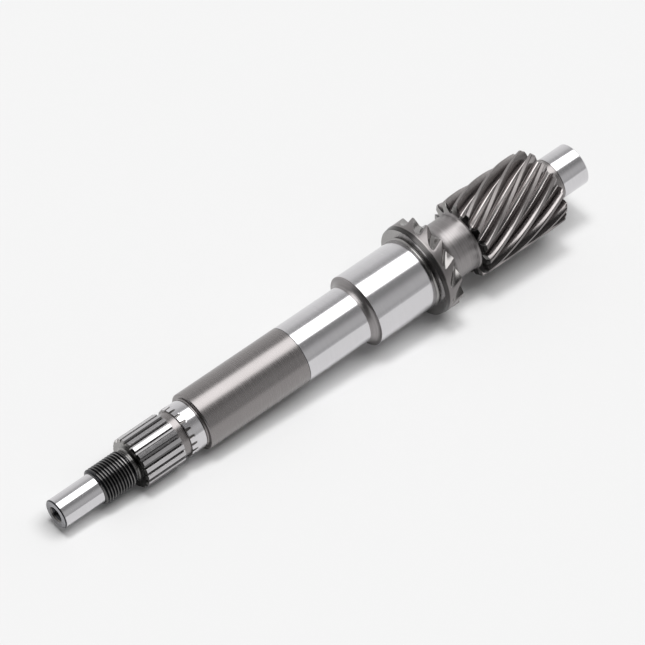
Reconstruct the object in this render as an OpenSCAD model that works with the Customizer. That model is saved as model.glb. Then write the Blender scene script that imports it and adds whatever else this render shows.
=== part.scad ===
// Output shaft of a gearbox: one turned, splined and hobbed steel piece, no moving parts.
// The shaft axis lies on X, with the threaded end towards -X. Every length is in millimetres, and
// positions along the shaft are counted from the face of the threaded end.

/* [Whole shaft] */
// Overall length, end face to end face
shaft_length = 297.3; // [296:0.1:300]

/* [Threaded end] */
// Diameter of the plain ground spigot outside the thread
spigot_d = 14.1; // [13.6:0.1:14.6]
// Length of that spigot, up to the start of the thread
spigot_length = 21.4; // [19:0.1:23]
// Outside diameter of the nut thread (its helix is left as a plain cylinder here)
thread_d = 17.2; // [16.6:0.1:17.6]
// Where the full thread ends and its relief begins
thread_end = 38; // [36:0.1:38.6]
// Floor diameter of the relief between thread and splines
relief_d = 15.4; // [14.8:0.1:16]

/* [Splines] */
// Where the splined length starts
spline_start = 41; // [40.6:0.1:42]
// Where the splined length ends and the cutter groove begins
spline_end = 62.5; // [58:0.1:63]
// Number of splines
spline_count = 20; // [16:1:22]
// Outside diameter over the splines
spline_d = 24.6; // [24.3:0.1:25]
// Diameter at the bottom of the spline gaps
spline_root_d = 22; // [21.6:0.1:22.4]
// Width of a gap at its bottom
spline_gap_bottom = 0.78; // [0.6:0.02:1]
// Slope of a gap wall from the radial direction, degrees
spline_wall_angle = 22; // [10:1:28]
// Diameter at the floor of the cutter groove
spline_groove_d = 21.4; // [20.8:0.1:21.5]
// Radius of the cutter that leaves the short marks in the next seat
spline_cutter_r = 33; // [28:1:38]

/* [Seats along the body] */
// Diameter of the short seat beside the splines
seat_d = 24; // [23.6:0.1:24.4]
// Where the short seat starts
seat_start = 66.6; // [66:0.1:68]
// Where the short seat ends
seat_end = 74.4; // [73:0.1:75]
// Diameter of the long seat
long_d = 28; // [27.4:0.1:28.6]
// Where the fillet at the end of the long seat begins
long_end = 165.65; // [160:0.05:167]
// Diameter of the large bearing seat
bearing_d = 35; // [34.4:0.1:35.6]
// Where the large bearing seat ends
bearing_end = 200.85; // [196:0.05:200.85]
// Floor diameter of the grinding groove beside the flange
flange_groove_d = 33.5; // [32.6:0.1:34]

/* [Flange and neck] */
// Diameter of the flange
flange_d = 44.9; // [44:0.1:46]
// Right side of the flange
flange_end = 212.6; // [211.6:0.1:213.4]
// Diameter of the neck between flange and pinion
neck_d = 27.8; // [27.2:0.1:28.2]

/* [Pinion] */
// Number of helical teeth
teeth = 14; // [13:1:15]
// Normal module of the teeth
module_n = 2.143; // [2.1:0.001:2.2]
// Axial lead of one turn of the left-hand tooth helix
lead = 207.1; // [200:0.1:215]
// Diameter over the tooth tips
tip_d = 38.1; // [37.6:0.1:38.6]
// Diameter at the bottom of the tooth gaps
root_d = 28.72; // [28.4:0.02:29]
// Left face of the pinion
pinion_start = 230.1; // [229.6:0.1:230.6]
// Right face of the pinion
pinion_end = 277.8; // [272:0.1:279]
// Radius of the hob
hob_r = 35; // [32:0.5:40]
// Where the hob stopped along the shaft: it leaves the gashes in the flange
hob_stop = 233; // [232.2:0.1:234]

/* [Plain right end] */
// Diameter of the ground seat at the right end
end_d = 20.6; // [20:0.1:21]
// Length of that seat
end_seat_length = 13.9; // [12:0.1:14.4]
// Diameter of the short hub between pinion and end seat
hub_d = 21.4; // [21.1:0.1:22]

/* [Centre holes] */
// Mouth diameter of the 60 degree centre hole in each end face
centre_mouth_d = 7.7; // [7:0.1:8.4]
// Diameter of the drilled bottom of the centre holes
centre_drill_d = 3.2; // [2.6:0.1:3.8]

/* [Hidden] */
$fn = 96;

pressure_angle = 20;
tooth_phase = 2.58;              // angle of one gap at X = 0
spline_phase = 2.5;
beta = asin(PI * module_n * teeth / lead);
pitch_r = teeth * module_n / (2 * cos(beta));
slope_t = tan(pressure_angle) / cos(beta);
root_r = root_d / 2;
tip_r = tip_d / 2;
flange_r = flange_d / 2;
neck_r = neck_d / 2;
rack_tip = PI * module_n / cos(beta) / 2 - 2 * (pitch_r - root_r) * slope_t;
pitch_angle = 360 / teeth;
neck_fillet = 6;
shoulder_r = (bearing_d - long_d) / 2;
centre_depth = (centre_mouth_d - centre_drill_d) / 2 / tan(30);
face_x = 202.4;                  // left face of the flange
rim = 2.5;                       // length of the shallow turned cone on its rim
tip_chamfer = 1.4;
end_seat = shaft_length - end_seat_length;
cutter_x = spline_end - 1.2;     // where the spline cutter starts to lift
swing_x = flange_end + 0.9;      // the hobbed gap swings faster on the flange side of this
neck_swing = 0.07;
rim_swing = 3;
rim_curve = 0.045;

// Turned body

function arc(cx, cr, r, a0, a1, n) =
    [for (i = [0:n]) let (a = a0 + (a1 - a0) * i / n) [cx + r * cos(a), cr + r * sin(a)]];

// every entry is [position along the shaft, radius]
function left_profile() = concat(
    [[centre_depth + 4.5, 0], [centre_depth + 3.6, centre_drill_d / 2],
     [centre_depth, centre_drill_d / 2], [0, centre_mouth_d / 2],
     [0, spigot_d / 2 - 0.5], [0.5, spigot_d / 2], [spigot_length, spigot_d / 2],
     [spigot_length + 0.15, spigot_d / 2 + 0.25],
     [spigot_length + 1.5, thread_d / 2], [thread_end, thread_d / 2],
     [thread_end + 0.7, relief_d / 2]],
    arc(spline_start - 1, relief_d / 2 + 1, 1, 270, 360, 5),
    [[spline_start, spline_d / 2 - 0.8], [spline_start + 0.8, spline_d / 2],
     [spline_end, spline_d / 2], [spline_end + 0.2, spline_groove_d / 2],
     [seat_start - 0.1, spline_groove_d / 2], [seat_start - 0.1, seat_d / 2 - 0.3],
     [seat_start + 0.2, seat_d / 2], [seat_end, seat_d / 2],
     [seat_end + 0.25, seat_d / 2 - 0.45], [seat_end + 0.85, seat_d / 2 - 0.45],
     [seat_end + 1.24, seat_d / 2 - 0.1], [seat_end + 1.24, long_d / 2 - 0.45],
     [seat_end + 1.7, long_d / 2]],
    arc(long_end, long_d / 2 + shoulder_r, shoulder_r, 270, 355, 8),
    [[long_end + shoulder_r + 0.1, bearing_d / 2], [bearing_end, bearing_d / 2],
     [bearing_end + 0.25, bearing_d / 2 - 0.3],
     [bearing_end + 0.5, flange_groove_d / 2]],
    arc(face_x - 1, flange_groove_d / 2 + 1, 1, 270, 345, 5),
    [[face_x + 0.5, flange_groove_d / 2 + 1.75], [face_x + 0.5, 10.2]]);

function right_profile() = [
    [pinion_end - 2, 10.2], [pinion_end - 2, hub_d / 2],
    [end_seat - 0.8, hub_d / 2], [end_seat - 0.6, end_d / 2 - 0.3],
    [end_seat - 0.2, end_d / 2 - 0.3], [end_seat, end_d / 2],
    [shaft_length - 0.5, end_d / 2], [shaft_length, end_d / 2 - 0.5],
    [shaft_length, centre_mouth_d / 2], [shaft_length - centre_depth, centre_drill_d / 2],
    [shaft_length - centre_depth - 3.6, centre_drill_d / 2],
    [shaft_length - centre_depth - 4.5, 0]];

module turned_body()
    rotate([0, 90, 0])
        rotate_extrude()
            polygon([for (p = concat(left_profile(), right_profile())) [p[1], p[0]]]);

// Splines: straight gaps that end on the curve of the cutter

function spline_lift(x) = let (q = max(0, x - cutter_x))
    spline_cutter_r - sqrt(spline_cutter_r * spline_cutter_r - q * q);

spline_stations = concat([spline_start - 1.3], [for (i = [0:9]) cutter_x + i * 1.013]);

function spline_section(x) =
    let (lo = spline_root_d / 2 + spline_lift(x), hi = spline_d / 2 + 1.2,
         a = spline_gap_bottom / 2, b = a + (hi - lo) * tan(spline_wall_angle))
    [[x, -a, lo], [x, a, lo], [x, b, hi], [x, -b, hi]];

function quad_shell(m, n) = concat(
    [[for (i = [0:n - 1]) i]],
    [for (s = [0:m - 2], i = [0:n - 1])
        let (j = (i + 1) % n, p = s * n)
        each [[p + i, p + n + i, p + n + j], [p + i, p + n + j, p + j]]],
    [[for (i = [n - 1:-1:0]) (m - 1) * n + i]]);

module spline_gap()
    polyhedron(points = [for (x = spline_stations) each spline_section(x)],
               faces = quad_shell(len(spline_stations), 4));

module spline_gaps()
    for (i = [0:spline_count - 1])
        rotate([spline_phase - 90 + i * 360 / spline_count, 0, 0]) spline_gap();

// Hobbed length: flange, neck and pinion

// how far the round hob has already lifted at distance q from its stop
function hob_lift(q) = let (c = min(max(q, 0), hob_r - 0.5)) hob_r - sqrt(hob_r * hob_r - c * c);

// clearance (positive: cut away) of a point at radius r seen at angle a, roll angle f
function cleared(r, a, f, x) =
    let (y = r * sin(a), q = (hob_stop - x) * cos(beta) + y * sin(beta))
    r * cos(a) - root_r - hob_lift(q)
        - max(0, abs(y - pitch_r * f * PI / 180) - rack_tip / 2) / slope_t;

function first_cut(a, f, x, lo, hi, n) = n == 0 ? hi :
    let (m = (lo + hi) / 2)
    cleared(m, a, f, x) >= 0 ? first_cut(a, f, x, lo, m, n - 1) : first_cut(a, f, x, m, hi, n - 1);

roll = [for (f = [-42:1.5:42]) f];
big_r = flange_r + 2;

// radius the hob leaves at angle p from the middle of a gap, at station x
function gap_r(p, x) =
    min([for (f = roll) cleared(big_r, p + f, f, x) < 0 ? big_r
                        : first_cut(p + f, f, x, root_r - 0.2, big_r, 12)]);

// where the gap wall meets the blank radius b, between angles i (inside) and o (outside)
function edge(i, o, x, b, n) = n == 0 ? (i + o) / 2 :
    let (m = (i + o) / 2)
    gap_r(m, x) < b ? edge(m, o, x, b, n - 1) : edge(i, m, x, b, n - 1);

// middle of the gap at a station: where the round hob runs out, the gap swings to one side
function deep(x) = x > hob_stop ? 0 : x > swing_x ? (hob_stop - x) * neck_swing
    : rim_swing + pow(swing_x - 0.5 - x, 2) * rim_curve;

spread = [-1, -0.84, -0.64, -0.38, 0, 0.38, 0.64, 0.84, 1];
half = pitch_angle / 2;

// one tooth pitch of a ring: nine points across the gap and one on the land, [angle, radius]
function pitch_points(x, b) =
    let (d = deep(x), open = gap_r(d, x) < b - 0.02)
    open
    ? let (e0 = max(-half, edge(d, d - 14, x, b, 9)), e1 = edge(d, d + 14, x, b, 9),
           w = min(e1, e0 + pitch_angle), m = (e0 + w) / 2, h = (w - e0) / 2)
      concat([for (u = spread) let (p = m + u * h) [p, min(b, gap_r(p, x))]],
             [[(w + e0 + pitch_angle) / 2, min(b, gap_r((w + e0 + pitch_angle) / 2, x),
                                               gap_r((w + e0 - pitch_angle) / 2, x))]])
    : [for (i = [0:9]) [d - half + (i + 0.5) * pitch_angle / 10, b]];

// the same pitch for the full-depth teeth, worked out once for the tip radius
full_pitch = pitch_points(pinion_end, tip_r);

function ring_points(x, b) =
    x > hob_stop + 5 && x < pinion_end + 1
    ? [for (p = full_pitch) [p[0], min(b, p[1])]]
    : pitch_points(x, b);

// blank of the hobbed length: [station, radius]
blank = concat(
    [[face_x, flange_r - rim / 5], [face_x + rim, flange_r]],
    [for (i = [0:6]) [face_x + rim + 0.9 + i * (flange_end - face_x - rim - 0.9) / 6, flange_r]],
    arc(flange_end + 0.1 + neck_fillet, neck_r + neck_fillet, neck_fillet, 180, 270, 6),
    [[pinion_start - 1.2, neck_r]],
    [[pinion_start - 0.45, neck_r + 0.3], [pinion_start, neck_r + 1.2],
     [pinion_start + 0.05, tip_r - tip_chamfer], [pinion_start + tip_chamfer, tip_r]],
    [for (i = [1:11]) [pinion_start + tip_chamfer
        + i * (pinion_end - pinion_start - 2 * tip_chamfer) / 11, tip_r]],
    [[pinion_end, tip_r - tip_chamfer]]);

function ring(s) =
    let (x = s[0], pts = ring_points(x, s[1]))
    [for (k = [0:teeth - 1], p = pts)
        let (a = tooth_phase + p[0] + k * pitch_angle - x * 360 / lead)
        [x, p[1] * cos(a), p[1] * sin(a)]];

per_ring = 10 * teeth;

module hobbed_length() {
    m = len(blank);
    pts = concat([for (s = blank) each ring(s)], [[face_x, 0, 0], [pinion_end, 0, 0]]);
    c0 = m * per_ring;
    c1 = c0 + 1;
    polyhedron(points = pts, faces = concat(
        [for (i = [0:per_ring - 1]) [c0, i, (i + 1) % per_ring]],
        [for (s = [0:m - 2], i = [0:per_ring - 1])
            let (j = (i + 1) % per_ring, p = s * per_ring, q = p + per_ring)
            each [[p + i, q + j, p + j], [p + i, q + i, q + j]]],
        [for (i = [0:per_ring - 1]) let (p = (m - 1) * per_ring) [c1, p + (i + 1) % per_ring, p + i]]));
}

module output_shaft()
    color([0.66, 0.66, 0.67])
        translate([-shaft_length / 2, 0, 0])
            union() {
                difference() {
                    turned_body();
                    spline_gaps();
                }
                hobbed_length();
            }

output_shaft();
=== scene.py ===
# Gearbox output shaft: one turned, threaded, splined and hobbed steel piece on a pale studio floor.
# Lengths are millimetres from the face of the threaded end, along the shaft axis (+X), and radii are from the axis.
# Angles around the shaft start at +Y and turn towards +Z.
import math

import bpy
import mathutils
import numpy as np
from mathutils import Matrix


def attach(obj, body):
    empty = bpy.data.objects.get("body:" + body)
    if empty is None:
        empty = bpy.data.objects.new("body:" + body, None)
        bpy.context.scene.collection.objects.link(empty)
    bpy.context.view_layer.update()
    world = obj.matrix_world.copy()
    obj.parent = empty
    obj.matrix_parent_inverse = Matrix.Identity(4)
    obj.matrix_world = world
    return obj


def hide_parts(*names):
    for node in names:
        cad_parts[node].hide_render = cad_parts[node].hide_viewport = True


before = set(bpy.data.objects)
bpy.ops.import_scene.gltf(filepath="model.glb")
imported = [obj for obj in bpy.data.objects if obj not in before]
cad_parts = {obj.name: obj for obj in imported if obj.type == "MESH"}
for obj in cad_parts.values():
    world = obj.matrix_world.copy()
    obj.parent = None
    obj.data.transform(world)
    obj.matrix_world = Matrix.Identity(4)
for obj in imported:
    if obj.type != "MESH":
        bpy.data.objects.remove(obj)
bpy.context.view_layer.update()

MM = 0.001
TURN = 2 * math.pi
LENGTH = 297.3
HALF = LENGTH / 2

# finishes of the steel, in the order of the piece's material slots
(GROUND, SATIN, BLACK, FLANK, LAND, FACE, NECK, END, CREST, TIP, BORE_SHADE, GAP, GASH, TURNED, EDGE,
 RELIEF, CONE, SHOULDER, TOOTH_END, SPLINE, ROOT) = range(21)

# ---------------------------------------------------------------- mesh helpers
SHARP = math.radians(32)    # edges above this angle stay sharp
CORNER_SHARE = 0.45         # most of a neighbouring segment that a rounded corner may use


class Shell:
    """Collects skins made of rings; every ring is a loop of points around the shaft axis."""

    def __init__(self):
        self.verts, self.faces, self.mats, self.count = [], [], [], 0

    def add(self, pts):
        """Adds points and gives the number of the first."""
        first = self.count
        self.verts.append(np.asarray(pts, float).reshape(-1, 3))
        self.count += len(self.verts[-1])
        return first

    def rings(self, x, r, a, mats, cap_start=None, cap_end=None):
        """x, r, a: (rings, points). mats: (rings - 1, points). A cap is (x of its middle, finish)."""
        x, r, a = np.broadcast_arrays(x, r, a)
        rows, n = r.shape
        first = self.add(np.stack([x, r * np.cos(a), r * np.sin(a)], -1))
        idx = first + np.arange(rows * n).reshape(rows, n)
        nxt = np.roll(idx, -1, axis=1)
        quads = np.stack([idx[:-1], nxt[:-1], nxt[1:], idx[1:]], -1).reshape(-1, 4)
        self.faces += quads.tolist()
        self.mats += np.broadcast_to(mats, (rows - 1, n)).reshape(-1).tolist()
        for cap, row, back in ((cap_start, 0, True), (cap_end, -1, False)):
            if cap is None:
                continue
            middle = self.add([[cap[0], 0, 0]])
            for i, j in zip(idx[row].tolist(), nxt[row].tolist()):
                self.faces.append([middle, j, i] if back else [middle, i, j])
                self.mats.append(cap[1])

    def sections(self, rows, cap_start, cap_end):
        """rows: one (x, radii, angles, finishes of the faces that follow) for each ring."""
        x, r, a, mats = zip(*rows)
        self.rings(np.array(x)[:, None], np.array(r), np.array(a), np.array(mats[:-1]), cap_start, cap_end)

    def build(self, name, slots):
        v = np.concatenate(self.verts)
        v[:, 0] -= HALF
        me = bpy.data.meshes.new(name)
        me.from_pydata((v * MM).tolist(), [], self.faces)
        for m in slots:
            me.materials.append(m)
        me.polygons.foreach_set("material_index", self.mats)
        me.polygons.foreach_set("use_smooth", [True] * len(self.faces))
        me.set_sharp_from_angle(angle=SHARP)
        me.validate()
        obj = bpy.data.objects.new(name, me)
        bpy.context.scene.collection.objects.link(obj)
        return obj


def arc(cx, cr, rad, a0, a1, n):
    return [(cx + rad * math.cos(math.radians(a0 + (a1 - a0) * i / n)),
             cr + rad * math.sin(math.radians(a0 + (a1 - a0) * i / n))) for i in range(n + 1)]


def soften(points, steps=3):
    """points: (x, radius, finish of the segment that follows, corner size). Rounds every corner that has a size."""
    out = []
    for k, (x, r, mat, corner) in enumerate(points):
        if corner <= 0 or k in (0, len(points) - 1):
            out.append((x, r, mat))
            continue
        p = np.array([x, r])
        before, after = np.array(points[k - 1][:2]) - p, np.array(points[k + 1][:2]) - p
        lb, la = np.linalg.norm(before), np.linalg.norm(after)
        s = p + before / lb * min(corner, lb * CORNER_SHARE)
        e = p + after / la * min(corner, la * CORNER_SHARE)
        for i in range(steps + 1):
            t = i / steps
            q = (1 - t) ** 2 * s + 2 * t * (1 - t) * p + t * t * e
            out.append((q[0], q[1], mat if i == steps else points[k - 1][2]))
    return out


def turned(shell, points, n=176, cap_start=None, cap_end=None):
    """A turned length from its profile, as soften takes it."""
    x, r, mats = (np.array(column)[:, None] for column in zip(*soften(points)))
    a = np.linspace(0, TURN, n, endpoint=False)[None, :]
    shell.rings(x, r, a, mats[:-1], cap_start, cap_end)


# ---------------------------------------------------------------- spigot and thread
SPIGOT_R, SPIGOT_END = 7.05, 21.4
THREAD_R, THREAD_ROOT_R, THREAD_PITCH, THREAD_END = 8.6, 7.72, 1.503, 38.1
CREST_X, CREST_ANGLE = 30.73, math.radians(124.0)   # a crest passes through this point
RELIEF_R, RELIEF_END, RELIEF_FILLET = 7.65, 40.0, 1.0
CENTRE_R, DRILL_R = 3.86, 1.6
CENTRE_DEPTH = (CENTRE_R - DRILL_R) / math.tan(math.radians(30))
INSIDE_R = 6.0              # skins of this end close here, out of sight
THREAD_END_R = 7.0          # the ridge's ends sink to this radius, out of sight


def centre_hole(face, side):
    """Profile from the drilled bottom out to the mouth; side is +1 at the left face, -1 at the right."""
    # the hole is drawn darker with depth, grey at the mouth, near black further in and black at the bottom: painted
    # shade
    slope = (CENTRE_R - DRILL_R) / CENTRE_DEPTH
    points = [(CENTRE_DEPTH + 4.4, 0.02, BORE_SHADE, 0), (CENTRE_DEPTH + 3.6, DRILL_R, BORE_SHADE, 0),
              (CENTRE_DEPTH, DRILL_R, BORE_SHADE, 0.1), (1.5, CENTRE_R - slope * 1.5, BLACK, 0),
              (0.7, CENTRE_R - slope * 0.7, TURNED, 0)]
    return [(face + side * depth, r, mat, corner) for depth, r, mat, corner in points]


def threaded_end(shell):
    turned(shell, centre_hole(0, 1) + [
        (0, CENTRE_R, END, 0.15), (0, SPIGOT_R - 0.5, BLACK, 0.1), (0.5, SPIGOT_R, GROUND, 0.12),
        (SPIGOT_END, SPIGOT_R, BLACK, 0.1), (SPIGOT_END + 0.1, SPIGOT_R + 0.22, BLACK, 0.05),
        (SPIGOT_END + 0.8, SPIGOT_R + 0.4, BLACK, 0), (SPIGOT_END + 1.2, INSIDE_R, BLACK, 0)])
    thread_relief(shell)
    thread(shell)


def thread_relief(shell):
    """The relief between thread and splines, with the fillet into the splines' shoulder."""
    points = [(THREAD_END - 0.6, INSIDE_R, BLACK, 0), (THREAD_END - 0.2, RELIEF_R - 0.3, BLACK, 0),
              (THREAD_END + 0.8, RELIEF_R, RELIEF, 0.2), (RELIEF_END, RELIEF_R, RELIEF, 0)]
    points += [(x, r, RELIEF if x < RELIEF_END + 0.4 else SHOULDER, 0)
               for x, r in arc(RELIEF_END, RELIEF_R + RELIEF_FILLET, RELIEF_FILLET, 275, 355, 5)]
    points += [(41.3, RELIEF_R + 1.6, SHOULDER, 0), (41.6, INSIDE_R, SHOULDER, 0)]
    turned(shell, points, n=128)


def thread(shell, n=120):
    """The helical ridge. Each row of points climbs one pitch in a turn, to where the row one section later begins."""
    half = [(0.10, THREAD_R), (0.16, THREAD_R - 0.05), (0.22, THREAD_R - 0.28),
            (0.375, THREAD_ROOT_R + 0.12), (0.44, THREAD_ROOT_R + 0.02)]
    section = [(-0.5, THREAD_ROOT_R)] + [(-at, r) for at, r in half[::-1]] + half
    crest = CREST_X - THREAD_PITCH * CREST_ANGLE / TURN
    lo, hi = SPIGOT_END + 0.12, THREAD_END + 0.8
    first = math.floor((SPIGOT_END - crest) / THREAD_PITCH) - 1
    last = math.ceil((THREAD_END + 0.9 - crest) / THREAD_PITCH) + 2
    rows = [(crest + (k + at) * THREAD_PITCH, r) for k in range(first, last) for at, r in section]
    a = np.linspace(0, TURN, n, endpoint=False)
    x = np.array([row[0] for row in rows])[:, None] + THREAD_PITCH * a / TURN
    r = np.array([row[1] for row in rows])[:, None]
    start = SPIGOT_R + 0.22 + (x - lo) * (THREAD_R - SPIGOT_R - 0.22) / 0.75
    stop = THREAD_R - (x - THREAD_END + 0.1) * 1.1
    r = np.maximum(np.minimum(r, np.minimum(start, stop)), THREAD_END_R)
    x = np.clip(x, lo, hi)
    m = len(section)
    idx = shell.add(np.stack([x, r * np.cos(a), r * np.sin(a)], -1)) + np.arange(x.size).reshape(x.shape)
    here, nxt = idx[:-m], np.concatenate([idx[:-m, 1:], idx[m:, :1]], 1)
    quads = np.stack([here[:-1], nxt[:-1], nxt[1:], here[1:]], -1)
    keep = np.ptp(x.ravel()[quads - idx[0, 0]], axis=-1) > 1e-4
    mats = np.where(np.isin(np.arange(len(quads)) % m, (4, 5, 6)), CREST, BLACK)
    shell.faces += quads[keep].tolist()
    shell.mats += np.broadcast_to(mats[:, None], keep.shape)[keep].tolist()


# ---------------------------------------------------------------- splines
SPLINES, SPLINE_R, SPLINE_ROOT_R = 20, 12.3, 11.0
SPLINE_START, SPLINE_END = 41.0, 62.5
GAP_BOTTOM, GAP_WALL = 0.78, math.tan(math.radians(22))     # width of a gap's floor, slope of its walls
SPLINE_PHASE = math.radians(4.75)
CUTTER_R, CUTTER_LIFT_X = 33, 61.3
GROOVE_R, SHORT_R, SHORT_START = 10.7, 12.0, 66.4           # cutter groove and short seat
SPLINE_EDGE = 0.10
BEYOND = 99.0               # radius where a gap wall is out of reach


def spline_lift(x):
    """How far the round cutter has risen at station x."""
    q = np.maximum(0, x - CUTTER_LIFT_X)
    return CUTTER_R - np.sqrt(CUTTER_R * CUTTER_R - q * q)


def spline_radius(p, x, blank):
    """Radius that the spline cutter leaves at angle p from the middle of a gap."""
    floor = SPLINE_ROOT_R + spline_lift(x)
    c, s = np.cos(p), np.abs(np.sin(p))
    den = c * GAP_WALL - s
    wall = np.where(den > 1e-3, (floor * GAP_WALL - GAP_BOTTOM / 2) / np.maximum(den, 1e-3), BEYOND)
    wall = np.where(s * floor / c <= GAP_BOTTOM / 2, floor / c, wall)
    return np.minimum(blank, np.maximum(floor / c, wall))


def splined_length(shell):
    """Splines, cutter groove and the start of the short seat, which the rising cutter nicks."""
    st = [(SPLINE_START, SPLINE_R - 0.85, SHOULDER), (41.08, SPLINE_R - 0.74, SHOULDER),
          (41.72, SPLINE_R - 0.1, SHOULDER), (41.85, SPLINE_R, SPLINE)]
    st += [(x, SPLINE_R, SPLINE) for x in (44.0, 48.0, 52.0, 56.0, 60.0, CUTTER_LIFT_X, 61.7, 62.1, 62.38)]
    st += [(62.48, SPLINE_R - 0.06, SPLINE), (62.52, SPLINE_R - 0.2, SATIN), (62.62, GROOVE_R + 0.15, SATIN)]
    st += [(x, GROOVE_R, SATIN) for x in (62.8, 64.0, 66.2)]
    st += [(66.42, 10.82, SATIN), (66.46, 11.75, GROUND), (66.5, 11.86, GROUND), (66.62, 11.97, GROUND)]
    st += [(66.75 + 0.24 * i, SHORT_R, GROUND) for i in range(13)]
    st += [(70.4, SHORT_R, GROUND), (70.6, 11.0, GROUND)]
    pitch = TURN / SPLINES
    rows = []
    for x, blank, mat in st:
        floor = float(SPLINE_ROOT_R + spline_lift(x))
        ref = blank if blank > floor + 0.03 else SPLINE_R
        top = (GAP_BOTTOM / 2 + max(ref - floor, 0.05) * GAP_WALL) / ref
        foot = GAP_BOTTOM / 2 / floor
        edge = SPLINE_EDGE / ref
        side = [foot * 0.55, foot, (foot + top) / 2, max(top - edge, foot * 1.05), top + edge,
                (top + edge + pitch / 2) / 2]
        p = np.array([-s for s in side[::-1]] + [0.0] + side + [pitch / 2])
        r = spline_radius(p, x, blank)
        a = (p[None, :] + pitch * np.arange(SPLINES)[:, None] + SPLINE_PHASE).ravel()
        cut = r < blank - 0.02
        inside = np.tile(cut | np.roll(cut, -1), SPLINES)
        gap = SHOULDER if x < 41.8 else GAP if x < SPLINE_END else SATIN if x < SHORT_START else TURNED
        rows.append((x, np.tile(r, SPLINES), a, np.where(inside, gap, mat)))
    shell.sections(rows, (SPLINE_START, SHOULDER), (70.6, SATIN))


# ---------------------------------------------------------------- turned body
LONG_R, LONG_END = 14.0, 165.65
BEARING_R, BEARING_END = 17.5, 200.85
FILLET_R = BEARING_R - LONG_R


def seats(shell):
    """Rest of the short seat, long seat, fillet, large bearing seat and the groove at the flange."""
    points = [(69.0, 9.0, SATIN, 0), (69.2, SHORT_R - 0.02, GROUND, 0), (74.4, SHORT_R, SATIN, 0.1),
              (74.65, 11.55, SATIN, 0.1), (75.25, 11.55, SATIN, 0.2), (75.64, 11.9, SATIN, 0.1),
              (75.64, LONG_R - 0.45, SATIN, 0.12), (76.1, LONG_R, SATIN, 0.15), (100.0, LONG_R, SATIN, 0)]
    # fine groove where the ground length begins
    points += [(131.12, LONG_R, SATIN, 0.03), (131.2, LONG_R - 0.05, BLACK, 0.03),
               (131.42, LONG_R - 0.05, BLACK, 0.03), (131.46, LONG_R - 0.015, GROUND, 0.03),
               (150.0, LONG_R - 0.01, GROUND, 0), (LONG_END, LONG_R, NECK, 0)]
    points += [(x, r, NECK, 0) for x, r in arc(LONG_END, BEARING_R, FILLET_R, 273, 357, 12)]
    # faint line across the large seat
    points += [(169.2, BEARING_R, GROUND, 0.12), (182.0, BEARING_R, GROUND, 0.03),
               (182.06, BEARING_R - 0.015, GROUND, 0.03), (182.14, BEARING_R - 0.015, GROUND, 0.03),
               (182.2, BEARING_R - 0.005, GROUND, 0.03), (BEARING_END, BEARING_R, GROUND, 0.06),
               (201.1, BEARING_R - 0.3, FACE, 0.08)]
    points += [(x, r, FACE, 0) for x, r in arc(201.4, 17.75, 1.0, 265, 345, 8)]
    points += [(202.9, 18.5, FACE, 0), (203.2, 12.0, FACE, 0)]
    turned(shell, points, n=192, cap_start=(69.0, SATIN), cap_end=(203.2, FACE))


# ---------------------------------------------------------------- hobbed length
TEETH, MODULE_N, LEAD = 14, 2.143, 207.1
PRESSURE_ANGLE = math.radians(20)
BETA = math.asin(math.pi * MODULE_N * TEETH / LEAD)
PITCH_R = TEETH * MODULE_N / (2 * math.cos(BETA))
SLOPE = math.tan(PRESSURE_ANGLE) / math.cos(BETA)
ROOT_R, TIP_R, FLANGE_R, NECK_R = 14.36, 19.05, 22.45, 13.9
RACK_TIP = math.pi * MODULE_N / math.cos(BETA) / 2 - 2 * (PITCH_R - ROOT_R) * SLOPE
HOB_R, HOB_STOP = 35.0, 233.0
HOB_CORNER = 0.4            # rounding of the rack's corners
TOOTH_PHASE = math.radians(2.582)
PITCH = TURN / TEETH
ROLL = np.radians(np.linspace(-43, 43, 61))
FINE = np.linspace(-PITCH / 2, PITCH / 2, 361)
FLANGE_START, FLANGE_END, PINION_END = 202.4, 212.6, 277.8
FULL_DEPTH_X = 237.0        # from here on every ring has the whole tooth form
SWING_X = 213.5             # left of this the gap's middle swings faster
NECK_SWING, RIM_SWING, RIM_CURVE = 0.07, 3, 0.045
TIP_BEVEL = 0.19
N_GAP, N_LAND = 29, 7       # points across a gap and on a land
ON_LAND, IN_GAP, ON_BEVEL, AT_ROOT = range(4)


def hob_cut(p, x):
    """Radius that the hob leaves at angle p from the middle of a gap (helix taken out), at station x."""
    a = np.asarray(p, float)[:, None] + ROLL
    lo, hi = np.full(a.shape, 10.0), np.full(a.shape, 25.0)

    def clear(rho):
        y = rho * np.sin(a)
        q = np.clip((HOB_STOP - x) * math.cos(BETA) + y * math.sin(BETA), 0, HOB_R * 0.98)
        lift = HOB_R - np.sqrt(HOB_R**2 - q * q)
        side = (np.abs(y - PITCH_R * ROLL) - RACK_TIP / 2) / SLOPE
        return rho * np.cos(a) - ROOT_R - lift - (side + np.sqrt(side**2 + HOB_CORNER**2)) / 2

    reached = clear(hi) >= 0
    for _ in range(22):
        mid = (lo + hi) / 2
        c = clear(mid) >= 0
        hi, lo = np.where(c, mid, hi), np.where(c, lo, mid)
    return np.where(reached, hi, 25.0).min(-1)


def gear_cut(p, x):
    """The same for the gap and both its neighbours."""
    p = (np.asarray(p, float) + PITCH / 2) % PITCH - PITCH / 2
    return np.minimum(hob_cut(p, x), np.minimum(hob_cut(p - PITCH, x), hob_cut(p + PITCH, x)))


def gap_middle(x):
    """Where the round hob runs out, the gap swings to one side."""
    if x > HOB_STOP:
        return 0.0
    return math.radians((HOB_STOP - x) * NECK_SWING if x > SWING_X
                        else RIM_SWING + (SWING_X - 0.5 - x) ** 2 * RIM_CURVE)


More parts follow.
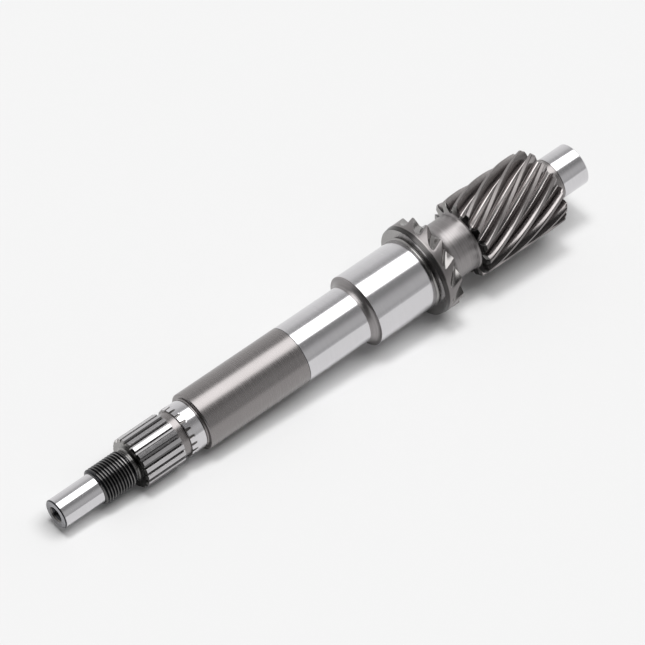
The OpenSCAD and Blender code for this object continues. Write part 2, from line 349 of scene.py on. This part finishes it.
def pitch_section(x, blank):
    """One tooth pitch of a ring: angles, radii and what each point lies on, with the gap's edges bevelled."""
    mid = gap_middle(x)
    p = FINE + mid
    cut = gear_cut(p, x)
    open_ = cut < blank - 0.02
    if not open_.any():
        a = mid + np.linspace(-PITCH / 2, PITCH / 2, N_GAP + N_LAND, endpoint=False)
        return a, np.full(a.size, blank), np.full(a.size, ON_LAND)
    lo, hi = p[open_][0], p[open_][-1]
    e = TIP_BEVEL / blank
    if hi - lo > PITCH - 2.2 * e:
        # the gap is as wide as the pitch: what is left of the land is a ridge
        ridge = p[np.argmax(cut)]
        lo, hi = ridge + e, ridge + PITCH - e
        if ridge > mid:
            lo, hi = ridge - PITCH + e, ridge - e
    elif hi - lo < 4 * e:
        e = (hi - lo) / 4
    t = np.linspace(-1, 1, N_GAP)
    t = np.sign(t) * (1 - (1 - np.abs(t)) ** 1.15)
    gap = (lo + hi) / 2 + (hi - lo - 1.3 * e) / 2 * t
    land = np.linspace(hi + 0.7 * e, lo + PITCH - 0.7 * e, N_LAND)
    a = np.concatenate([gap, land])
    r = np.minimum(blank, gear_cut(a, x))
    kind = np.repeat([IN_GAP, ON_LAND], [N_GAP, N_LAND])
    kind[[N_GAP - 1, -1]] = ON_BEVEL
    kind[:N_GAP - 1][r[:N_GAP - 1] < ROOT_R + 0.05] = AT_ROOT
    return a, r, kind


def hobbed_blank():
    """The blank of the hobbed length: (x, radius, finish)."""
    st = [(FLANGE_START, FLANGE_R - 0.62, CONE), (202.52, FLANGE_R - 0.5, CONE), (203.2, FLANGE_R - 0.36, CONE),
          (204.0, FLANGE_R - 0.2, CONE), (204.6, FLANGE_R - 0.1, EDGE)]
    st += [(x, FLANGE_R, LAND) for x in (204.8, 205.4, 205.7, 206.0, 206.4, 206.8, 207.4, 208.0, 208.8, 209.6,
                                         210.4, 211.2, 212.0)]
    st += [(212.5, FLANGE_R, FACE), (FLANGE_END, FLANGE_R - 0.14, FACE), (212.68, FLANGE_R - 1.0, FACE),
           (212.7, 20.6, FACE)]
    st += [(x, r, NECK) for x, r in arc(218.7, NECK_R + 6, 6.0, 184, 270, 11)]
    st += [(x, NECK_R, NECK) for x in (221.0, 223.5, 226.0, 228.0)]
    st += [(x, r, NECK if x < 230.0 else TOOTH_END) for x, r in arc(229.0, NECK_R + 1.1, 1.1, 270, 352, 6)]
    st += [(230.12, 17.55, TOOTH_END), (230.25, 17.8, TOOTH_END), (231.3, TIP_R - 0.1, TIP)]
    st += [(x, TIP_R, TIP) for x in (231.55, 232.5, 234.0, 236.0)]
    st += [(x, TIP_R, TIP) for x in np.linspace(237.5, 276.2, 22)]
    return st + [(276.4, TIP_R - 0.03, TIP), (277.6, 17.85, TIP), (PINION_END, 17.6, TIP)]


def hobbed_length(shell):
    """Flange with its gashes, neck and pinion, all cut by the one hob."""
    full = pitch_section(250.0, TIP_R)
    turn = PITCH * np.arange(TEETH)[:, None]
    rows = []
    for x, blank, mat in hobbed_blank():
        p, r, kind = full if x > FULL_DEPTH_X else pitch_section(x, blank)
        a = (p[None, :] + turn).ravel() + TOOTH_PHASE - x * TURN / LEAD
        kind = np.tile(kind, TEETH)
        # the hob's nicks in the neck take the near-black cone colour: painted shade
        cut = np.where(kind == AT_ROOT, ROOT, FLANK) if x > 231.4 else CONE if x > 214 else GASH
        bevel = EDGE if x > 232 else mat
        mats = np.where(kind == ON_BEVEL, bevel, np.where(kind == ON_LAND, mat, cut))
        rows.append((x, np.tile(np.minimum(r, blank), TEETH), a, mats))
    shell.sections(rows, (FLANGE_START, FACE), (PINION_END, FACE))


# ---------------------------------------------------------------- plain end
HUB_R, END_R = 10.7, 10.3


def plain_end(shell):
    points = [(276.0, 9.0, SATIN, 0), (276.2, HUB_R, SATIN, 0), (282.35, HUB_R, SATIN, 0.15),
              (282.5, END_R - 0.2, SATIN, 0.08), (283.0, END_R - 0.2, SATIN, 0.08), (283.12, END_R, GROUND, 0.08),
              (LENGTH - 0.5, END_R, GROUND, 0.15), (LENGTH, END_R - 0.5, END, 0.15), (LENGTH, CENTRE_R, END, 0.15)]
    points += [(x, r, END, corner) for x, r, _, corner in reversed(centre_hole(LENGTH, -1))]
    turned(shell, points, cap_start=(276.0, SATIN))


# ---------------------------------------------------------------- node helpers
def grey(value):
    return (value, value, value, 1)


def node(tree, kind, inputs=None, operation=None, data_type=None, interpolation=None):
    """A shader node. Each input is a value, or the socket that it comes from."""
    made = tree.nodes.new("ShaderNode" + kind)
    if operation:
        made.operation = operation
    if data_type:
        made.data_type = data_type
    if interpolation:
        made.interpolation_type = interpolation
    for key, value in (inputs or {}).items():
        if isinstance(value, bpy.types.NodeSocket):
            tree.links.new(value, made.inputs[key])
        else:
            made.inputs[key].default_value = value
    return made


def span(tree, value, lo, hi, to_lo=0.0, to_hi=1.0, kind="LINEAR"):
    limits = {"Value": value, "From Min": lo, "From Max": hi, "To Min": to_lo, "To Max": to_hi}
    return node(tree, "MapRange", limits, interpolation=kind).outputs[0]


def times(tree, one, other):
    return node(tree, "Math", {0: one, 1: other}, operation="MULTIPLY").outputs[0]


def blend(tree, factor, one, other):
    return node(tree, "Mix", {"Factor": factor, "A": one, "B": other}, data_type="RGBA").outputs["Result"]


def curve(tree, source, stops):
    """A grey curve over the source's 0 to 1: (position, value)."""
    made = node(tree, "ValToRGB", {0: source})
    elements = made.color_ramp.elements
    elements.remove(elements[-1])
    elements[0].position, elements[0].color = stops[0][0], grey(stops[0][1])
    for at, value in stops[1:]:
        elements.new(at).color = grey(value)
    return made.outputs[0]


# ---------------------------------------------------------------- materials
NOISE_LO, NOISE_HI = 0.3, 0.7       # where nearly all of a noise texture's values lie
CLOUD_SCALE = 90.0


def steel(name, colour, roughness, rings=0.0, spread=0.05, tint=0.0, bump=0.0, ring_scale=3000.0, along=40.0,
          grade=None, lean=None):
    """Bare steel with fine turning or grinding rings.

    rings and tint are how far the brightness changes ring by ring and in clouds, spread how far the gloss does,
    bump the height of the rings in mm. grade: (distance from the axis in mm, factor) for the brightness.
    lean: direction, from mm, to mm, factor at the first, factor at the second.
    """
    m = bpy.data.materials.new(name)
    m.use_nodes = True
    nt = m.node_tree
    nt.nodes.clear()
    place = node(nt, "TexCoord").outputs["Object"]
    drawn_out = node(nt, "Mapping", {"Vector": place, "Scale": (ring_scale, along, along)}).outputs[0]
    fine = node(nt, "TexNoise", {"Vector": drawn_out, "Scale": 1.0, "Detail": 3.0, "Roughness": 0.6}).outputs["Fac"]
    cloud = node(nt, "TexNoise", {"Vector": place, "Scale": CLOUD_SCALE, "Detail": 4.0}).outputs["Fac"]
    shade = times(nt, span(nt, fine, NOISE_LO, NOISE_HI, 1.0 - rings, 1.0 + rings * 0.4),
                  span(nt, cloud, NOISE_LO, NOISE_HI, 1.0 - tint, 1.0 + tint * 0.3))
    if grade:
        near, far = grade[0][0], grade[-1][0]
        xyz = node(nt, "SeparateXYZ", {0: place}).outputs
        flat = node(nt, "CombineXYZ", {"Y": xyz["Y"], "Z": xyz["Z"]}).outputs[0]
        away = node(nt, "VectorMath", {0: flat}, operation="LENGTH").outputs["Value"]
        stops = [((r - near) / (far - near), factor) for r, factor in grade]
        shade = times(nt, shade, curve(nt, span(nt, away, near * MM, far * MM), stops))
    if lean:
        direction, start, stop, factor_start, factor_stop = lean
        along_it = node(nt, "VectorMath", {0: place, 1: direction}, operation="DOT_PRODUCT").outputs["Value"]
        shade = times(nt, shade, span(nt, along_it, start * MM, stop * MM, factor_start, factor_stop))
    gloss = span(nt, fine, NOISE_LO, NOISE_HI, max(0.03, roughness - spread), roughness + spread)
    inputs = {"Metallic": 1.0, "Roughness": gloss,
              "Base Color": node(nt, "VectorMath", {0: colour, "Scale": shade}, operation="SCALE").outputs[0]}
    if bump:
        inputs["Normal"] = node(nt, "Bump", {"Strength": 1.0, "Distance": bump * MM, "Height": fine}).outputs[0]
    node(nt, "OutputMaterial", {0: node(nt, "BsdfPrincipled", inputs).outputs[0]})
    return m


CUT = {"ring_scale": 600.0, "along": 200}       # marks of a milling cutter, shorter than turned rings
# painted light and shade on the tooth flanks: brightness changes with distance from the axis, lighter at the root
# fillet, darker halfway up, lighter again near the tips
FLANK_GRADE = [(14.3, 1.2), (14.55, 1.8), (14.85, 1.3), (15.15, 0.58), (15.7, 0.5), (16.5, 0.62), (17.1, 0.85),
               (18.2, 1.05)]
slots = {
    GROUND: steel("ground_steel", (0.652, 0.642, 0.657), 0.13, rings=0.04, spread=0.025, tint=0.02, bump=0.0003),
    SATIN: steel("satin_turned_steel", (0.268, 0.252, 0.25), 0.27, rings=0.045, spread=0.025, tint=0.03,
                 bump=0.0006),
    # near-black steel for the thread's flanks and roots, the chamfers and steps, the fine groove and the countersink:
    # painted shade in these grooves, chamfers and the hole
    BLACK: steel("near_black_steel_and_painted_shade", (0.047, 0.048, 0.052), 0.3, rings=0.1, tint=0.1),
    FLANK: steel("tooth_flank_steel", (0.342, 0.32, 0.317), 0.2, rings=0.06, spread=0.03, tint=0.06,
                 grade=FLANK_GRADE, **CUT),
    LAND: steel("flange_rim_steel", (0.235, 0.221, 0.22), 0.34, rings=0.08, spread=0.04, tint=0.05, bump=0.1),
    FACE: steel("turned_face_steel", (0.33, 0.322, 0.316), 0.24, rings=0.12, tint=0.05),
    NECK: steel("turned_neck_steel", (0.312, 0.296, 0.296), 0.34, rings=0.2, spread=0.06, tint=0.05, bump=0.2,
                ring_scale=2200.0),
    # painted light: the end faces get lighter towards the top and the near side, and darker towards the bottom and
    # the far side
    END: steel("end_face_steel", (0.297, 0.294, 0.31), 0.26, rings=0.15, tint=0.1, ring_scale=500.0, along=500,
               lean=((0, -0.8, 0.6), -5.0, 6.0, 0.5, 1.25)),
    CREST: steel("thread_crest_steel", (0.12, 0.116, 0.114), 0.2, rings=0.05, tint=0.2,
                 lean=((1, 0, 0), 33 - HALF, 37.5 - HALF, 0.95, 2.2)),
    TIP: steel("tooth_tip_steel", (0.275, 0.257, 0.255), 0.52, rings=0.05, spread=0.03, tint=0.05, bump=0.1),
    # painted shade: near black at the bottom of the centre holes
    BORE_SHADE: steel("bore_painted_shade", (0.02, 0.02, 0.02), 0.4, rings=0.1),
    GAP: steel("spline_gap_steel", (0.235, 0.23, 0.232), 0.26, rings=0.06, spread=0.04, tint=0.08, **CUT),
    GASH: steel("hob_gash_steel", (0.265, 0.255, 0.25), 0.2, rings=0.06, spread=0.04, tint=0.08, **CUT),
    TURNED: steel("turned_groove_steel", (0.17, 0.163, 0.158), 0.3, rings=0.3, spread=0.06, tint=0.05, bump=0.002,
                  ring_scale=2400.0),
    EDGE: steel("tooth_edge_steel", (0.22, 0.208, 0.206), 0.2, rings=0.05, spread=0.03),
    RELIEF: steel("thread_relief_steel", (0.17, 0.166, 0.163), 0.2, rings=0.1, spread=0.04, tint=0.1),
    # painted shade and reflection: the flange's cone and the hob's nicks in the neck are drawn near black
    CONE: steel("cone_and_nick_painted_shade", (0.078, 0.075, 0.074), 0.28, rings=0.4, spread=0.06, tint=0.05, bump=0.002,
                ring_scale=2400.0),
    # painted shade and reflection: the shoulder between thread relief and splines, and the gap ends at the chamfer,
    # get dark towards the near side
    SHOULDER: steel("spline_shoulder_steel", (0.32, 0.312, 0.304), 0.3, rings=0.15, tint=0.05,
                    lean=((0, 1, 0), -2.5, 3.0, 0.1, 1.0)),
    # painted shade and reflection: the pinion's tooth ends get dark towards the near side
    TOOTH_END: steel("tooth_end_steel", (0.3, 0.293, 0.286), 0.3, rings=0.1, tint=0.05,
                     lean=((0, 1, 0), -2.5, 5.0, 0.1, 1.0)),
    SPLINE: steel("spline_crest_steel", (0.5, 0.489, 0.497), 0.2, rings=0.04, spread=0.03, tint=0.03),
    # rougher than the flanks, and darker: painted shade at the bottom of the tooth gaps
    ROOT: steel("tooth_root_steel", (0.165, 0.157, 0.155), 0.5, rings=0.05, spread=0.03, tint=0.05),
}

shaft = Shell()
threaded_end(shaft)
splined_length(shaft)
seats(shaft)
hobbed_length(shaft)
plain_end(shaft)
piece = shaft.build("output_shaft_dressed", [slots[k] for k in sorted(slots)])
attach(piece, "root")
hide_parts("output_shaft")

# ---------------------------------------------------------------- floor
TILT = math.radians(3.563)          # the shaft lies on its splines and on the flange
REST_X, REST_Z = 41.75, -12.3       # where the splines touch
FLOOR_SIZE, FLOOR_GAP = 6.0, 0.05
FLOOR_ALBEDO = 0.80


def floor():
    me = bpy.data.meshes.new("studio_floor")
    up = np.array([math.sin(TILT), 0, math.cos(TILT)])
    side = np.array([math.cos(TILT), 0, -math.sin(TILT)]) * FLOOR_SIZE
    across = np.array([0, 1, 0]) * FLOOR_SIZE
    middle = np.array([(REST_X - HALF) * MM, 0, REST_Z * MM]) - up * FLOOR_GAP * MM
    corners = [middle + side * i + across * j for i, j in ((-1, -1), (1, -1), (1, 1), (-1, 1))]
    me.from_pydata([tuple(p) for p in corners], [], [(0, 1, 2, 3)])
    obj = bpy.data.objects.new("studio_floor", me)
    bpy.context.scene.collection.objects.link(obj)
    m = bpy.data.materials.new("pale_floor")
    m.use_nodes = True
    m.node_tree.nodes.clear()
    diffuse = node(m.node_tree, "BsdfDiffuse", {"Color": grey(FLOOR_ALBEDO)})
    node(m.node_tree, "OutputMaterial", {0: diffuse.outputs[0]})
    me.materials.append(m)


floor()

# ---------------------------------------------------------------- studio light
# what the steel mirrors, around the shaft: degrees up from the far side -> brightness
BANDS = [(-180, 0.56), (-170, 0.9), (-90, 0.9), (0, 0.9), (8, 0.87), (27, 0.79), (43, 0.56), (52, 0.46), (62, 0.5),
         (106, 0.36), (113, 0.30), (125, 0.29), (131, 0.33), (138, 0.43), (145, 0.52), (156, 0.55), (166, 0.54),
         (173, 0.47), (180, 0.55)]
SOFTBOX = [(58.5, 0.0), (64.0, 1.0), (102.5, 1.0), (108.5, 0.0)]
NEAR_SIDE = [(-180, 0.0), (106, 0.0), (122, 0.87), (180, 0.87)]
# along the shaft: from and to, as the X part of the direction
DARK_ENDS_X, NEAR_SIDE_X, SOFTBOX_LEFT_X, SOFTBOX_RIGHT_X = (-0.80, -0.64), (0.2, -0.2), (-0.50, -0.40), (0.90, 0.82)
SOFTBOX_L, PAPER, FILL, DARK_END = 3.1, 0.912, 0.245, 0.06
# overhead lights: direction they shine from, light on the floor, width in degrees
LAMPS = [((0.0, 0.05, 1.0), 1.05, 14.0), ((0.28, -0.2, 1.0), 1.86, 40.0)]


def studio():
    world = bpy.data.worlds.new("studio")
    bpy.context.scene.world = world
    world.use_nodes = True
    nt = world.node_tree
    nt.nodes.clear()
    towards = node(nt, "SeparateXYZ", {0: node(nt, "TexCoord").outputs["Generated"]}).outputs
    angle = node(nt, "Math", {0: towards["Z"], 1: towards["Y"]}, operation="ARCTAN2").outputs[0]
    turn = span(nt, angle, -math.pi, math.pi)

    def around(stops):
        return curve(nt, turn, [((degrees + 180) / 360, value) for degrees, value in stops])

    def beside(limits):
        return span(nt, towards["X"], *limits, kind="SMOOTHSTEP")

    room = blend(nt, beside(DARK_ENDS_X), grey(DARK_END), around(BANDS))
    room = blend(nt, times(nt, around(NEAR_SIDE), beside(NEAR_SIDE_X)), room, grey(0))
    box = times(nt, times(nt, beside(SOFTBOX_LEFT_X), beside(SOFTBOX_RIGHT_X)), around(SOFTBOX))
    room = blend(nt, box, room, grey(SOFTBOX_L))
    # the floor gets its soft shadow from the lamps and an even fill, and the camera sees plain paper
    path = node(nt, "LightPath").outputs
    seen = blend(nt, path["Is Glossy Ray"], grey(FILL), room)
    seen = blend(nt, path["Is Camera Ray"], seen, grey(PAPER))
    background = node(nt, "Background", {"Color": seen, "Strength": 1.0})
    node(nt, "OutputWorld", {0: background.outputs[0]})
    world.cycles.sampling_method = "NONE"


def lamps():
    for k, (towards, strength, width) in enumerate(LAMPS):
        data = bpy.data.lights.new(f"overhead_{k}", "SUN")
        data.angle = math.radians(width)
        data.energy = strength
        lamp = bpy.data.objects.new(f"overhead_{k}", data)
        lamp.rotation_mode = "QUATERNION"
        lamp.rotation_quaternion = mathutils.Vector(towards).normalized().to_track_quat("Z", "Y")
        lamp.visible_glossy = False
        bpy.context.scene.collection.objects.link(lamp)


studio()
lamps()

# ---------------------------------------------------------------- camera
LENS, SENSOR = 334.88, 36.0
CAMERA_RIGHT = (0.76328, -0.64432, -0.04753)
CAMERA_UP = (0.516585, 0.564472, 0.643825)
CAMERA_BACK = (-0.387998, -0.515972, 0.763695)
CAMERA_AT = ((-867.87 - HALF) * MM, -1353.97 * MM, 2011.39 * MM)

cam_data = bpy.data.cameras.new("camera")
cam_data.lens = LENS
cam_data.sensor_width = SENSOR
cam_data.clip_end = 50
cam = bpy.data.objects.new("camera", cam_data)
bpy.context.scene.collection.objects.link(cam)
cam.matrix_world = mathutils.Matrix([*zip(CAMERA_RIGHT, CAMERA_UP, CAMERA_BACK, CAMERA_AT), (0, 0, 0, 1)])
bpy.context.scene.camera = cam
bpy.context.scene.view_settings.view_transform = "Standard"
